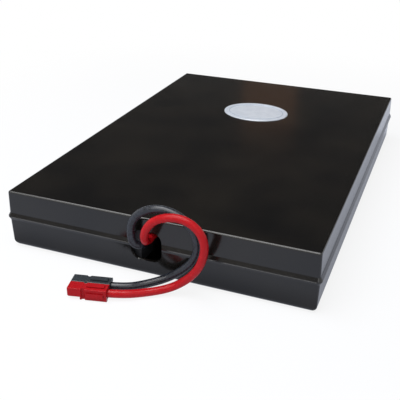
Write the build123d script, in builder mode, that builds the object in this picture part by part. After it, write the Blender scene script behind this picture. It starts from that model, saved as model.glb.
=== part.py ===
from build123d import *

import math
import os

os.makedirs("parts", exist_ok=True)

# Sealed battery cartridge for a low rack power supply, in millimetres.
# +X runs right along the front, -Y is the front where the leads come out, +Z is up.
# The origin is the middle of the underside.

# Four flat sealed lead-acid batteries, terminals facing a middle channel.
# They set the inside of the case, and with its walls the whole size.
BATTERY_LENGTH = 151.0
BATTERY_DEPTH = 94.0
BATTERY_THICKNESS = 34.0
BATTERY_EDGE = 1.5
BATTERY_GAP = 0.4
BATTERY_SIDE_CLEARANCE = 0.2
CHANNEL_WIDTH = 20.2
LID_JOINT = 9.0
LID_GROOVE = 0.8
LID_GROOVE_DEPTH = 0.4
LID_GROOVE_OVERCUT = 1.0
VENT_LENGTH = 44.0
VENT_WIDTH = 20.0
VENT_PROUD = 0.8
TERMINAL_OFFSET = 33.0
WELL_SIZE = 12.0
WELL_DEPTH = 1.5

# Foam that holds the batteries off the tray and off the end walls
FOAM_THICKNESS = 4.0
FOAM_WIDTH = 18.0
FOAM_END = 14.0
FOAM_INSET = 14.0
FOAM_RADIUS = 1.0
PAD_THICKNESS = 2.4
PAD_CLEARANCE = 0.3
PAD_SIDE = 17.0
PAD_MARGIN = 6.0
PAD_RADIUS = 2.0

# Case, two moulded halves that meet at a seam
SEAM_HEIGHT = 23.3
WALL = 2.0
DRAFT = 1.7
CORNER_RADIUS = 2.0
TOP_EDGE_RADIUS = 1.5
BOTTOM_EDGE_RADIUS = 5.0
LEAST_RADIUS = 1.5
RIDGE_PROUD = 1.2
RIDGE_HALF_HEIGHT = 2.6
RIDGE_LAND = 0.5
SEAM_CHAMFER = 0.2
TONGUE_THICKNESS = 0.9
TONGUE_HEIGHT = 2.0
TONGUE_CLEARANCE = 0.15

# Outlet for the leads, cut across the seam in the front wall
OUTLET_WIDTH = 20.5
OUTLET_HEIGHT = 20.5
OUTLET_X = -4.2
OUTLET_Z = 22.2
OUTLET_RADIUS = 6.0
OUTLET_FLARE = 1.2

# Oval badge, set in a shallow recess in the cover
BADGE_X = -0.8
BADGE_Y = 63.3
BADGE_HALF_WIDTH = 28.5
BADGE_HALF_DEPTH = 23.1
BADGE_THICKNESS = 1.1
BADGE_RECESS = 0.5
BADGE_CLEARANCE = 0.25
BADGE_RIM = 2.6
BADGE_STEP = 0.25
BADGE_EDGE = 0.35

# Two ribs on the tray floor beside the channel
RIB_THICKNESS = 1.5
RIB_TOP = 10.5
RIB_END = 19.0
RIB_CLEARANCE = 0.2
RIB_DRAFT = 1.0

# Terminal tabs and the insulated push-on receptacles on them
TAB_WIDTH = 6.35
TAB_THICKNESS = 0.8
TAB_LENGTH = 6.4
TAB_FOOT = 9.0
TAB_FOOT_RADIUS = 1.0
TAB_HOLE = 1.7
FOOT_CLEARANCE = 0.1
SLEEVE_WIDTH = 8.6
SLEEVE_THICKNESS = 4.4
SLEEVE_DEPTH = 7.0
SLEEVE_EDGE = 0.8
SLEEVE_STANDOFF = 0.3
SLEEVE_FIT = 0.1
BARREL_RADIUS = 3.3
BARREL_AXIS = 3.8
BARREL_REACH = 11.0
BARREL_BORE_DEPTH = 5.0

# Leads and jumpers
CORD_DIAMETER = 5.2
CORD_FIT = 0.1
EXIT_BEHIND_FRONT = 4.5
RED_EXIT_X = -1.2
RED_EXIT_Z = 28.7
JUMPER_RISE = 3.0
JUMPER_SIDESTEP = 0.5
JUMPER_STRAIGHT = 13.0
JUMPER_LOW_Y = 21.4
JUMPER_HIGH_Y = 8.5

# Pair of single-pole connector housings on the ends of the leads
POLE_PITCH = 7.9
POLE_LENGTH = 24.6
POLE_EDGE = 0.45
PAIR_REAR_X = -15.9
PAIR_AHEAD = 27.8
PAIR_TURN = 192.6
ENTRY_DIAMETER = 5.8
ENTRY_DEPTH = 7.5
CORD_INSERT = 6.0
CORD_STRAIGHT = 8.0
CHANNEL_SIZE = 4.9
NOSE_LENGTH = 7.8
NOSE_STEP = 1.9
NOSE_CHAMFER = 0.8
MOUTH_WIDTH = 6.0
MOUTH_WALL = 0.95
MOUTH_DEPTH = 8.2
RAIL_ROOT = 2.5
RAIL_TIP = 3.1
RAIL_HEIGHT = 0.7
RAIL_START = 2.0
RAIL_LENGTH = 11.0
RAIL_CLEARANCE = 0.08
PIN_DISTANCE = 14.8
PIN_RADIUS = 1.25
PIN_BORE = 0.85
PIN_SLOT = 0.5
PIN_CLEARANCE = 0.05
CONTACT_RADIUS = 2.2
CONTACT_BARREL_END = 13.0
CONTACT_WIDTH = 4.4
CONTACT_THICKNESS = 0.9
CONTACT_LEVEL = 1.0
CONTACT_REACH = 22.6
CONTACT_TIP_LENGTH = 2.0
CONTACT_TIP_DROP = 0.6
SPRING_WIDTH = 3.6
SPRING_THICKNESS = 0.3
SPRING_LENGTH = 4.6
SPRING_INSET = 0.3
SPRING_GAP = 0.15

# Worked out from the sizes above. The case comes to 214 wide, 313 long and 42 high.
CASE_HEIGHT = 2 * WALL + FOAM_THICKNESS + BATTERY_THICKNESS
UPPER_DEPTH = CASE_HEIGHT - SEAM_HEIGHT
FLOOR_INSET = SEAM_HEIGHT * math.tan(math.radians(DRAFT))
TOP_INSET = UPPER_DEPTH * math.tan(math.radians(DRAFT))
SIDE_WALL = WALL + max(FLOOR_INSET, TOP_INSET)
CHANNEL_HALF = CHANNEL_WIDTH / 2
INNER_HALF_LENGTH = BATTERY_GAP / 2 + BATTERY_LENGTH + PAD_THICKNESS + PAD_CLEARANCE
CASE_WIDTH = 2 * (CHANNEL_HALF + BATTERY_DEPTH + BATTERY_SIDE_CLEARANCE + SIDE_WALL)
CASE_LENGTH = 2 * (INNER_HALF_LENGTH + SIDE_WALL)
FRONT_Y = -CASE_LENGTH / 2
FLARE_ANGLE = math.degrees(math.atan(OUTLET_FLARE / (2 * RIDGE_PROUD)))
RIDGE_SLOPE = math.degrees(math.atan(RIDGE_PROUD / (RIDGE_HALF_HEIGHT - RIDGE_LAND)))
BATTERY_Z = WALL + FOAM_THICKNESS + BATTERY_THICKNESS / 2
BATTERY_Y = (BATTERY_LENGTH + BATTERY_GAP) / 2
OUTER_TERMINAL_Y = BATTERY_Y + TERMINAL_OFFSET
INNER_TERMINAL_Y = BATTERY_Y - TERMINAL_OFFSET
WIRE_X = CHANNEL_HALF - BARREL_AXIS
WIRE_START = BARREL_REACH - BARREL_BORE_DEPTH
CORD_RADIUS = CORD_DIAMETER / 2
EXIT_Y = FRONT_Y + EXIT_BEHIND_FRONT
POLE_HALF = POLE_PITCH / 2
PAIR_AXIS = Vector(math.cos(math.radians(PAIR_TURN)), math.sin(math.radians(PAIR_TURN)), 0)
PAIR_ACROSS = Vector(0, 0, 1).cross(PAIR_AXIS)
MOUTH_FLOOR = NOSE_STEP + MOUTH_WALL - POLE_HALF
MOUTH_TOP = POLE_HALF - MOUTH_WALL

# The signs of the two sides: right or red is +1, left or black is -1
RIGHT, LEFT = 1, -1
RED, BLACK = 1, -1
SIDES = {"right": RIGHT, "left": LEFT}
ENDS = {"front": -1, "rear": 1}


def save(part, name):
    """Labels a finished piece and writes it under its own name."""
    part.label = name
    export_step(part, f"parts/{name}.step")


def case_outline(grow):
    """Draws the case's outline at the seam, grown or shrunk evenly."""
    radius = max(CORNER_RADIUS + grow, LEAST_RADIUS)
    RectangleRounded(CASE_WIDTH + 2 * grow, CASE_LENGTH + 2 * grow, radius)


def outlet_sketch(grow):
    """Draws the outlet's rounded outline on a plane that faces the front."""
    with Locations((OUTLET_X, OUTLET_Z)):
        radius = min(OUTLET_RADIUS, OUTLET_HEIGHT / 2 - 0.1) + grow
        RectangleRounded(OUTLET_WIDTH + 2 * grow, OUTLET_HEIGHT + 2 * grow, radius)


def cut_outlet():
    """Cuts the outlet and its flared mouth through the front wall."""
    front_plane = Plane.XZ.offset(-FRONT_Y + RIDGE_PROUD)
    with BuildSketch(front_plane) as flare:
        outlet_sketch(OUTLET_FLARE)
    extrude(flare.sketch, amount=-2 * RIDGE_PROUD, taper=FLARE_ANGLE, mode=Mode.SUBTRACT)
    with BuildSketch(front_plane) as hole:
        outlet_sketch(0)
    extrude(hole.sketch, amount=-(RIDGE_PROUD + FLOOR_INSET + 2 * WALL), mode=Mode.SUBTRACT)


# The cover: a drafted lid with a rounded top edge, half of the seam ridge,
# a rebate that takes the tray's tongue, and the badge's recess
with BuildPart() as top_cover:
    with BuildSketch(Plane.XY.offset(SEAM_HEIGHT)):
        case_outline(0)
    extrude(amount=UPPER_DEPTH, taper=DRAFT)
    fillet(top_cover.faces().sort_by(Axis.Z)[-1].edges(), TOP_EDGE_RADIUS)
    with BuildSketch(Plane.XY.offset(SEAM_HEIGHT)):
        case_outline(RIDGE_PROUD)
    extrude(amount=RIDGE_LAND)
    with BuildSketch(Plane.XY.offset(SEAM_HEIGHT + RIDGE_LAND)):
        case_outline(RIDGE_PROUD)
    extrude(amount=RIDGE_HALF_HEIGHT - RIDGE_LAND, taper=RIDGE_SLOPE)
    chamfer(top_cover.faces().sort_by(Axis.Z)[0].edges(), SEAM_CHAMFER)
    with BuildSketch(Plane.XY.offset(SEAM_HEIGHT)):
        case_outline(-WALL)
    extrude(amount=UPPER_DEPTH - WALL, taper=DRAFT, mode=Mode.SUBTRACT)
    with BuildSketch(Plane.XY.offset(SEAM_HEIGHT)):
        case_outline(-(WALL - TONGUE_THICKNESS - TONGUE_CLEARANCE))
    extrude(amount=TONGUE_HEIGHT + TONGUE_CLEARANCE, mode=Mode.SUBTRACT)
    with BuildSketch(Plane.XY.offset(CASE_HEIGHT)):
        with Locations((BADGE_X, BADGE_Y)):
            Ellipse(BADGE_HALF_WIDTH + BADGE_CLEARANCE, BADGE_HALF_DEPTH + BADGE_CLEARANCE)
    extrude(amount=-BADGE_RECESS, mode=Mode.SUBTRACT)
    cut_outlet()
save(top_cover.part, "top_cover")

# The tray: the lower half, with the tongue that locates the cover
# and two ribs that keep the batteries out of the wiring channel
with BuildPart() as bottom_tray:
    with BuildSketch(Plane.XY.offset(SEAM_HEIGHT)):
        case_outline(0)
    extrude(amount=-SEAM_HEIGHT, taper=DRAFT)
    fillet(bottom_tray.faces().sort_by(Axis.Z)[0].edges(), BOTTOM_EDGE_RADIUS)
    with BuildSketch(Plane.XY.offset(SEAM_HEIGHT)):
        case_outline(RIDGE_PROUD)
    extrude(amount=-RIDGE_LAND)
    with BuildSketch(Plane.XY.offset(SEAM_HEIGHT - RIDGE_LAND)):
        case_outline(RIDGE_PROUD)
    extrude(amount=-(RIDGE_HALF_HEIGHT - RIDGE_LAND), taper=RIDGE_SLOPE)
    chamfer(bottom_tray.faces().sort_by(Axis.Z)[-1].edges(), SEAM_CHAMFER)
    with BuildPart(mode=Mode.SUBTRACT) as tray_hollow:
        with BuildSketch(Plane.XY.offset(SEAM_HEIGHT)):
            case_outline(-WALL)
        extrude(amount=-(SEAM_HEIGHT - WALL), taper=DRAFT)
        inner_edge_radius = max(BOTTOM_EDGE_RADIUS - WALL, LEAST_RADIUS)
        fillet(tray_hollow.faces().sort_by(Axis.Z)[0].edges(), inner_edge_radius)
    with BuildSketch(Plane.XY.offset(SEAM_HEIGHT)):
        case_outline(-(WALL - TONGUE_THICKNESS))
        with BuildSketch(mode=Mode.SUBTRACT):
            case_outline(-WALL)
    extrude(amount=TONGUE_HEIGHT)
    with BuildSketch(Plane.XY.offset(WALL)):
        for side in SIDES.values():
            with Locations((side * (CHANNEL_HALF - RIB_CLEARANCE - RIB_THICKNESS / 2), 0)):
                Rectangle(RIB_THICKNESS, 2 * (INNER_HALF_LENGTH - RIB_END))
    extrude(amount=RIB_TOP - WALL, taper=RIB_DRAFT)
    cut_outlet()
save(bottom_tray.part, "bottom_tray")

# The badge: a thin oval plate with a raised rim round its field
with BuildPart() as oval_badge:
    with BuildSketch(Plane.XY.offset(CASE_HEIGHT - BADGE_RECESS)):
        with Locations((BADGE_X, BADGE_Y)):
            Ellipse(BADGE_HALF_WIDTH, BADGE_HALF_DEPTH)
    extrude(amount=BADGE_THICKNESS)
    chamfer(oval_badge.faces().sort_by(Axis.Z)[-1].edges(), BADGE_EDGE)
    with BuildSketch(Plane.XY.offset(CASE_HEIGHT - BADGE_RECESS + BADGE_THICKNESS)):
        with Locations((BADGE_X, BADGE_Y)):
            Ellipse(BADGE_HALF_WIDTH - BADGE_RIM, BADGE_HALF_DEPTH - BADGE_RIM)
    extrude(amount=-BADGE_STEP, mode=Mode.SUBTRACT)
save(oval_badge.part, "oval_badge")


def terminal_plane(side, y):
    """Gives the plane of a battery's terminal face at one place along it.

    Its normal points into the channel, its x axis runs along the case and its y axis up.
    """
    return Plane(origin=(side * CHANNEL_HALF, y, BATTERY_Z), x_dir=(0, -side, 0), z_dir=(-side, 0, 0))


def make_battery(side, end):
    """Makes one sealed battery with its lid joint, vent strip and terminal wells."""
    face = terminal_plane(side, end * BATTERY_Y)
    with BuildPart() as battery:
        with BuildSketch(face):
            RectangleRounded(BATTERY_LENGTH, BATTERY_THICKNESS, BATTERY_EDGE)
        extrude(amount=-BATTERY_DEPTH)
        far_face = battery.faces().sort_by(Axis(face.origin, face.z_dir))[0]
        chamfer(far_face.edges(), BATTERY_EDGE)
        with BuildSketch(face.offset(-LID_JOINT)):
            Rectangle(
                BATTERY_LENGTH + 2 * LID_GROOVE_OVERCUT, BATTERY_THICKNESS + 2 * LID_GROOVE_OVERCUT
            )
            with BuildSketch(mode=Mode.SUBTRACT):
                RectangleRounded(
                    BATTERY_LENGTH - 2 * LID_GROOVE_DEPTH,
                    BATTERY_THICKNESS - 2 * LID_GROOVE_DEPTH,
                    BATTERY_EDGE,
                )
        extrude(amount=-LID_GROOVE, mode=Mode.SUBTRACT)
        with BuildSketch(face):
            Rectangle(VENT_LENGTH, VENT_WIDTH)
        extrude(amount=VENT_PROUD)
        with BuildSketch(face):
            with Locations((-TERMINAL_OFFSET, 0), (TERMINAL_OFFSET, 0)):
                Rectangle(WELL_SIZE, WELL_SIZE)
        extrude(amount=-WELL_DEPTH, mode=Mode.SUBTRACT)
    return battery.part


def make_tab(side, y):
    """Makes one terminal: a foot that sits in its well and a flat blade."""
    face = terminal_plane(side, y)
    with BuildPart() as tab:
        with BuildSketch(face.offset(-WELL_DEPTH)):
            RectangleRounded(TAB_FOOT, TAB_FOOT, TAB_FOOT_RADIUS)
        extrude(amount=WELL_DEPTH - FOOT_CLEARANCE)
        with BuildSketch(face.offset(-FOOT_CLEARANCE)):
            Rectangle(TAB_WIDTH, TAB_THICKNESS)
        extrude(amount=TAB_LENGTH + FOOT_CLEARANCE)
        tip = tab.faces().sort_by(Axis(face.origin, face.z_dir))[-1]
        chamfer(tip.edges().sort_by(SortBy.LENGTH)[:2], TAB_THICKNESS / 2)
        hole_plane = Plane(origin=(side * (CHANNEL_HALF - TAB_LENGTH / 2), y, BATTERY_Z))
        with BuildSketch(hole_plane):
            Circle(TAB_HOLE / 2)
        extrude(amount=TAB_THICKNESS, both=True, mode=Mode.SUBTRACT)
    return tab.part


def make_receptacle(side, y, towards):
    """Makes an insulated push-on receptacle whose wire leaves along the channel."""
    face = terminal_plane(side, y)
    barrel_x = side * (CHANNEL_HALF - BARREL_AXIS)
    barrel_plane = Plane(origin=(barrel_x, y, BATTERY_Z), x_dir=(1, 0, 0), z_dir=(0, towards, 0))
    with BuildPart() as receptacle:
        with BuildSketch(face.offset(SLEEVE_STANDOFF)):
            RectangleRounded(SLEEVE_WIDTH, SLEEVE_THICKNESS, SLEEVE_EDGE)
        extrude(amount=SLEEVE_DEPTH - SLEEVE_STANDOFF)
        with BuildSketch(barrel_plane):
            Circle(BARREL_RADIUS)
        extrude(amount=BARREL_REACH)
        with BuildSketch(face):
            Rectangle(TAB_WIDTH + 2 * SLEEVE_FIT, TAB_THICKNESS + 2 * SLEEVE_FIT)
        extrude(amount=TAB_LENGTH + SLEEVE_FIT, mode=Mode.SUBTRACT)
        with BuildSketch(barrel_plane.offset(WIRE_START)):
            Circle(CORD_RADIUS + CORD_FIT / 2)
        extrude(amount=BARREL_BORE_DEPTH, mode=Mode.SUBTRACT)
    return receptacle.part


# Batteries, their tabs and receptacles, and the foam at their ends
for side_name, side in SIDES.items():
    for end_name, end in ENDS.items():
        save(make_battery(side, end), f"battery_{side_name}_{end_name}")
        for place, y in (("outer", end * OUTER_TERMINAL_Y), ("inner", end * INNER_TERMINAL_Y)):
            save(make_tab(side, y), f"tab_{side_name}_{end_name}_{place}")
            towards = end if place == "outer" else -end
            save(make_receptacle(side, y, towards), f"receptacle_{side_name}_{end_name}_{place}")
        pad_y = end * (BATTERY_GAP / 2 + BATTERY_LENGTH)
        with BuildPart() as end_pad:
            pad_centre = (side * (CHANNEL_HALF + BATTERY_DEPTH / 2), pad_y, BATTERY_Z)
            with BuildSketch(Plane(origin=pad_centre, x_dir=(1, 0, 0), z_dir=(0, end, 0))):
                RectangleRounded(
                    BATTERY_DEPTH - 2 * PAD_SIDE, BATTERY_THICKNESS - 2 * PAD_MARGIN, PAD_RADIUS
                )
            extrude(amount=PAD_THICKNESS)
        save(end_pad.part, f"end_pad_{side_name}_{end_name}")
    strip_places = {
        "inner": CHANNEL_HALF + FOAM_INSET + FOAM_WIDTH / 2,
        "outer": CHANNEL_HALF + BATTERY_DEPTH - FOAM_INSET - FOAM_WIDTH / 2,
    }
    for place, x in strip_places.items():
        with BuildPart() as foam_strip:
            with BuildSketch(Plane.XY.offset(WALL)):
                with Locations((side * x, 0)):
                    RectangleRounded(FOAM_WIDTH, 2 * (INNER_HALF_LENGTH - FOAM_END), FOAM_RADIUS)
            extrude(amount=FOAM_THICKNESS)
        save(foam_strip.part, f"foam_strip_{side_name}_{place}")


def make_cord(name, points):
    """Sweeps a cord's round section along straight runs joined by tangent arcs.

    Each arc's radius is 0.45 of the shorter run beside its corner, divided by the
    tangent of half the turn. Prints the radii, and the volume against section times length.
    """
    corners = [Vector(*point) for point in points]
    runs = [b - a for a, b in zip(corners, corners[1:])]
    radii = []
    for before, after in zip(runs, runs[1:]):
        half_turn = math.radians(before.get_angle(after)) / 2
        radii.append(0.45 * min(before.length, after.length) / math.tan(half_turn))
    with BuildPart() as cord:
        with BuildLine() as path:
            if radii:
                FilletPolyline(*corners, radius=radii)
            else:
                Line(*corners)
        with BuildSketch(Plane(origin=corners[0], z_dir=runs[0])):
            Circle(CORD_RADIUS)
        sweep(transition=Transition.RIGHT)
    length = sum(edge.length for edge in path.edges())
    expected = math.pi * CORD_RADIUS**2 * length
    print(name, "length", round(length, 1), "radii", [round(radius, 1) for radius in radii],
          "volume ratio", round(cord.part.volume / expected, 5))
    save(cord.part, name)


def pole_point(side, distance):
    """Gives a point on a housing's axis, at a distance forward of its rear face."""
    rear = Vector(PAIR_REAR_X, FRONT_Y - PAIR_AHEAD, POLE_HALF)
    return rear + PAIR_ACROSS * (side * POLE_HALF) + PAIR_AXIS * distance


def pole_plane(side, distance, turn=0):
    """Gives a cross-section plane of a housing: x across the pair, y up, normal forward.

    A turn in degrees swings x and y round the housing's axis.
    """
    angle = math.radians(turn)
    x_dir = PAIR_ACROSS * math.cos(angle) + Vector(0, 0, 1) * math.sin(angle)
    return Plane(origin=pole_point(side, distance), x_dir=x_dir, z_dir=PAIR_AXIS)


def side_plane(side):
    """Gives the plane along a housing's axis: x is the distance forward, y is up."""
    return Plane(origin=pole_point(side, 0), x_dir=PAIR_AXIS, z_dir=-PAIR_ACROSS)


# The parts of the leads inside the case, and the jumpers in the channel
wire_end_y = OUTER_TERMINAL_Y + WIRE_START
red_step = (EXIT_Y + wire_end_y) / 3
make_cord("red_inner_lead", [
    (WIRE_X, -wire_end_y, BATTERY_Z),
    (WIRE_X, -wire_end_y + red_step, BATTERY_Z),
    (RED_EXIT_X, EXIT_Y - red_step, RED_EXIT_Z),
    (RED_EXIT_X, EXIT_Y, RED_EXIT_Z),
])
make_cord("black_inner_lead", [(-WIRE_X, -wire_end_y, BATTERY_Z), (-WIRE_X, EXIT_Y, BATTERY_Z)])
for side_name, side in SIDES.items():
    make_cord(f"{side_name}_jumper", [
        (side * WIRE_X, -INNER_TERMINAL_Y + WIRE_START, BATTERY_Z),
        (side * WIRE_X, -JUMPER_LOW_Y, BATTERY_Z),
        (side * (WIRE_X - JUMPER_SIDESTEP), -JUMPER_HIGH_Y, BATTERY_Z + JUMPER_RISE),
        (side * (WIRE_X - JUMPER_SIDESTEP), JUMPER_HIGH_Y, BATTERY_Z + JUMPER_RISE),
        (side * WIRE_X, JUMPER_LOW_Y, BATTERY_Z),
        (side * WIRE_X, INNER_TERMINAL_Y - WIRE_START, BATTERY_Z),
    ])

# The rear jumper turns back across the channel in one half circle
with BuildPart() as rear_jumper:
    with BuildLine():
        bend_y = wire_end_y + JUMPER_STRAIGHT
        out = Line((WIRE_X, wire_end_y, BATTERY_Z), (WIRE_X, bend_y, BATTERY_Z))
        ThreePointArc(out @ 1, (0, bend_y + WIRE_X, BATTERY_Z), (-WIRE_X, bend_y, BATTERY_Z))
        Line((-WIRE_X, bend_y, BATTERY_Z), (-WIRE_X, wire_end_y, BATTERY_Z))
    with BuildSketch(Plane(origin=out @ 0, z_dir=out % 0)):
        Circle(CORD_RADIUS)
    sweep()
save(rear_jumper.part, "rear_jumper")

# The free leads: out of the outlet, up and over in a loop before the front wall,
# down to the floor and back to the connectors. Each y is a distance before the wall.
make_cord("red_lead", [
    (RED_EXIT_X, EXIT_Y, RED_EXIT_Z),
    (RED_EXIT_X, FRONT_Y - 2.0, RED_EXIT_Z),
    (-0.7, FRONT_Y - 7.5, 30.5),
    (0.2, FRONT_Y - 11.2, 35.6),
    (1.5, FRONT_Y - 11.5, 41.6),
    (6.6, FRONT_Y - 11.5, 48.4),
    (15.3, FRONT_Y - 11.5, 52.8),
    (25.7, FRONT_Y - 11.5, 53.9),
    (35.2, FRONT_Y - 11.5, 49.4),
    (40.0, FRONT_Y - 11.5, 40.7),
    (39.1, FRONT_Y - 11.5, 30.2),
    (35.2, FRONT_Y - 11.0, 20.5),
    (28.0, FRONT_Y - 10.5, 11.5),
    (18.3, FRONT_Y - 12.8, 4.6),
    (6.5, FRONT_Y - 19.6, 2.7),
    tuple(pole_point(RED, -CORD_STRAIGHT)),
    tuple(pole_point(RED, CORD_INSERT)),
])
make_cord("black_lead", [
    (-WIRE_X, EXIT_Y, BATTERY_Z),
    (-WIRE_X, FRONT_Y - 1.5, BATTERY_Z),
    (-10.2, FRONT_Y - 5.4, 25.6),
    (-12.0, FRONT_Y - 5.3, 32.0),
    (-11.5, FRONT_Y - 5.3, 39.6),
    (-7.5, FRONT_Y - 5.3, 46.6),
    (-0.6, FRONT_Y - 5.3, 51.6),
    (8.3, FRONT_Y - 5.3, 54.1),
    (18.0, FRONT_Y - 5.3, 53.0),
    (26.5, FRONT_Y - 5.3, 48.0),
    (31.7, FRONT_Y - 5.3, 40.5),
    (33.2, FRONT_Y - 5.3, 31.4),
    (30.2, FRONT_Y - 5.1, 22.6),
    (22.9, FRONT_Y - 4.9, 13.9),
    (12.2, FRONT_Y - 5.7, 5.7),
    (0.5, FRONT_Y - 12.6, 2.7),
    tuple(pole_point(BLACK, -CORD_STRAIGHT)),
    tuple(pole_point(BLACK, CORD_INSERT)),
])


def dovetail(low_width, low_y, high_width, high_y):
    """Draws a four-sided dovetail between two levels above a housing's axis."""
    low, high = low_width / 2, high_width / 2
    Polygon((-low, low_y), (low, low_y), (high, high_y), (-high, high_y), align=None)


def make_housing(side):
    """Makes one connector housing with its bore, nose, mouth, dovetails and pin notches."""
    nose_start = POLE_LENGTH - NOSE_LENGTH
    with BuildPart() as housing:
        with BuildSketch(pole_plane(side, 0)):
            RectangleRounded(POLE_PITCH, POLE_PITCH, POLE_EDGE)
        extrude(amount=nose_start)
        # The nose is lower than the body, so that a mating nose slides under it
        with BuildSketch(pole_plane(side, nose_start)):
            with Locations((0, NOSE_STEP / 2)):
                RectangleRounded(POLE_PITCH, POLE_PITCH - NOSE_STEP, POLE_EDGE)
        extrude(amount=NOSE_LENGTH)
        nose_bottom = NOSE_STEP - POLE_HALF
        with BuildSketch(side_plane(side)):
            Polygon(
                (POLE_LENGTH - NOSE_CHAMFER, nose_bottom), (POLE_LENGTH, nose_bottom),
                (POLE_LENGTH, nose_bottom + NOSE_CHAMFER), align=None,
            )
        extrude(amount=POLE_PITCH, both=True, mode=Mode.SUBTRACT)
        # Rails on the top and on the outer side, for the next housing to slide on
        for turn in (0, -90):
            with BuildSketch(pole_plane(side, RAIL_START, turn)):
                dovetail(RAIL_ROOT, POLE_HALF, RAIL_TIP, POLE_HALF + RAIL_HEIGHT)
            extrude(amount=RAIL_LENGTH)
        # Grooves opposite, which take the rails of the neighbour
        for turn in (180, 90):
            with BuildSketch(pole_plane(side, 0, turn)):
                dovetail(
                    RAIL_TIP + 2 * RAIL_CLEARANCE, POLE_HALF - RAIL_HEIGHT - RAIL_CLEARANCE,
                    RAIL_ROOT + 2 * RAIL_CLEARANCE, POLE_HALF,
                )
            extrude(amount=RAIL_START + RAIL_LENGTH + RAIL_CLEARANCE, mode=Mode.SUBTRACT)
        with BuildSketch(pole_plane(side, 0)):
            Circle(ENTRY_DIAMETER / 2)
        extrude(amount=ENTRY_DEPTH, mode=Mode.SUBTRACT)
        with BuildSketch(pole_plane(side, ENTRY_DEPTH)):
            Rectangle(CHANNEL_SIZE, CHANNEL_SIZE)
        extrude(amount=POLE_LENGTH - ENTRY_DEPTH - MOUTH_DEPTH, mode=Mode.SUBTRACT)
        with BuildSketch(pole_plane(side, POLE_LENGTH)):
            with Locations((0, (MOUTH_TOP + MOUTH_FLOOR) / 2)):
                RectangleRounded(MOUTH_WIDTH, MOUTH_TOP - MOUTH_FLOOR, POLE_EDGE)
        extrude(amount=-MOUTH_DEPTH, mode=Mode.SUBTRACT)
        # Half-round notches for the pins, one on each side
        notch = pole_point(side, PIN_DISTANCE)
        for across in (-1, 1):
            centre = notch + PAIR_ACROSS * (across * POLE_HALF)
            with BuildSketch(Plane(origin=(centre.X, centre.Y, 0))):
                Circle(PIN_RADIUS + PIN_CLEARANCE)
            extrude(amount=POLE_PITCH, mode=Mode.SUBTRACT)
    return housing.part


def make_contact(side):
    """Makes one contact: a crimped barrel on the conductor and a flat tongue."""
    tongue_start = (CORD_INSERT + CONTACT_BARREL_END) / 2
    bend = CONTACT_REACH - CONTACT_TIP_LENGTH
    under = CONTACT_LEVEL - CONTACT_THICKNESS
    with BuildPart() as contact:
        with BuildSketch(pole_plane(side, CORD_INSERT)):
            Circle(CONTACT_RADIUS)
        extrude(amount=CONTACT_BARREL_END - CORD_INSERT)
        with BuildSketch(side_plane(side)):
            Polygon(
                (tongue_start, under), (bend, under), (CONTACT_REACH, under - CONTACT_TIP_DROP),
                (CONTACT_REACH, CONTACT_LEVEL - CONTACT_TIP_DROP), (bend, CONTACT_LEVEL),
                (tongue_start, CONTACT_LEVEL), align=None,
            )
        extrude(amount=CONTACT_WIDTH / 2, both=True)
    return contact.part


def make_spring(side):
    """Makes the leaf spring that holds a contact's tongue up in the mouth."""
    start = POLE_LENGTH - MOUTH_DEPTH + SPRING_INSET
    middle = start + SPRING_LENGTH / 2
    end = start + SPRING_LENGTH
    top = CONTACT_LEVEL - CONTACT_THICKNESS - SPRING_GAP
    low = MOUTH_FLOOR + SPRING_THICKNESS
    with BuildPart() as spring:
        with BuildSketch(side_plane(side)):
            with BuildLine():
                over = ThreePointArc((start, low), (middle, top), (end, low))
                under = ThreePointArc(
                    (end, MOUTH_FLOOR), (middle, top - SPRING_THICKNESS), (start, MOUTH_FLOOR)
                )
                Line(over @ 1, under @ 0)
                Line(under @ 1, over @ 0)
            make_face()
        extrude(amount=SPRING_WIDTH / 2, both=True)
    return spring.part


for colour_name, side in (("red", RED), ("black", BLACK)):
    save(make_housing(side), f"{colour_name}_housing")
    save(make_contact(side), f"{colour_name}_contact")
    save(make_spring(side), f"{colour_name}_spring")

# The slotted roll pin that keeps the two housings from sliding apart
pin_centre = (pole_point(RED, PIN_DISTANCE) + pole_point(BLACK, PIN_DISTANCE)) / 2
with BuildPart() as roll_pin:
    with BuildSketch(Plane(origin=(pin_centre.X, pin_centre.Y, 0), x_dir=PAIR_AXIS, z_dir=(0, 0, 1))):
        Circle(PIN_RADIUS)
        Circle(PIN_BORE, mode=Mode.SUBTRACT)
        with Locations((PIN_RADIUS, 0)):
            Rectangle(2 * PIN_RADIUS, PIN_SLOT, mode=Mode.SUBTRACT)
    extrude(amount=POLE_PITCH)
save(roll_pin.part, "roll_pin")
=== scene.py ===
import functools
import logging
import math
from dataclasses import dataclass, field
from enum import Enum

import bmesh
import bpy
from mathutils import Matrix, Vector


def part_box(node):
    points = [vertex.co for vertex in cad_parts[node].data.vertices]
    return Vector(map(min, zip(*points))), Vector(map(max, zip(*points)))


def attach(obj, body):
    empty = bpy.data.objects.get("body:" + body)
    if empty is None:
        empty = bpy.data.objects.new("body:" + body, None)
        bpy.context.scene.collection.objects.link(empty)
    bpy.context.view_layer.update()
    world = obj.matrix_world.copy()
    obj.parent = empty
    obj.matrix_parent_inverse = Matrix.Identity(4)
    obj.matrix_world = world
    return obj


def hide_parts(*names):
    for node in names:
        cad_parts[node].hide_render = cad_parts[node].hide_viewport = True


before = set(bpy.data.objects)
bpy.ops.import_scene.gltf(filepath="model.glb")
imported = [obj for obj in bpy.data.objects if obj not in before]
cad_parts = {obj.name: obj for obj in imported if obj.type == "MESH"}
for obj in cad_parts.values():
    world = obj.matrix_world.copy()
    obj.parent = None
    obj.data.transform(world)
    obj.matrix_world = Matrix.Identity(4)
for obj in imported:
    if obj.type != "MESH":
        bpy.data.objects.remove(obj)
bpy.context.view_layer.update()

# A name that ends in _mm holds millimetres, and every other length is in metres
MM = 0.001
BODY = "root"
SIDES = ("right", "left")
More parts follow.
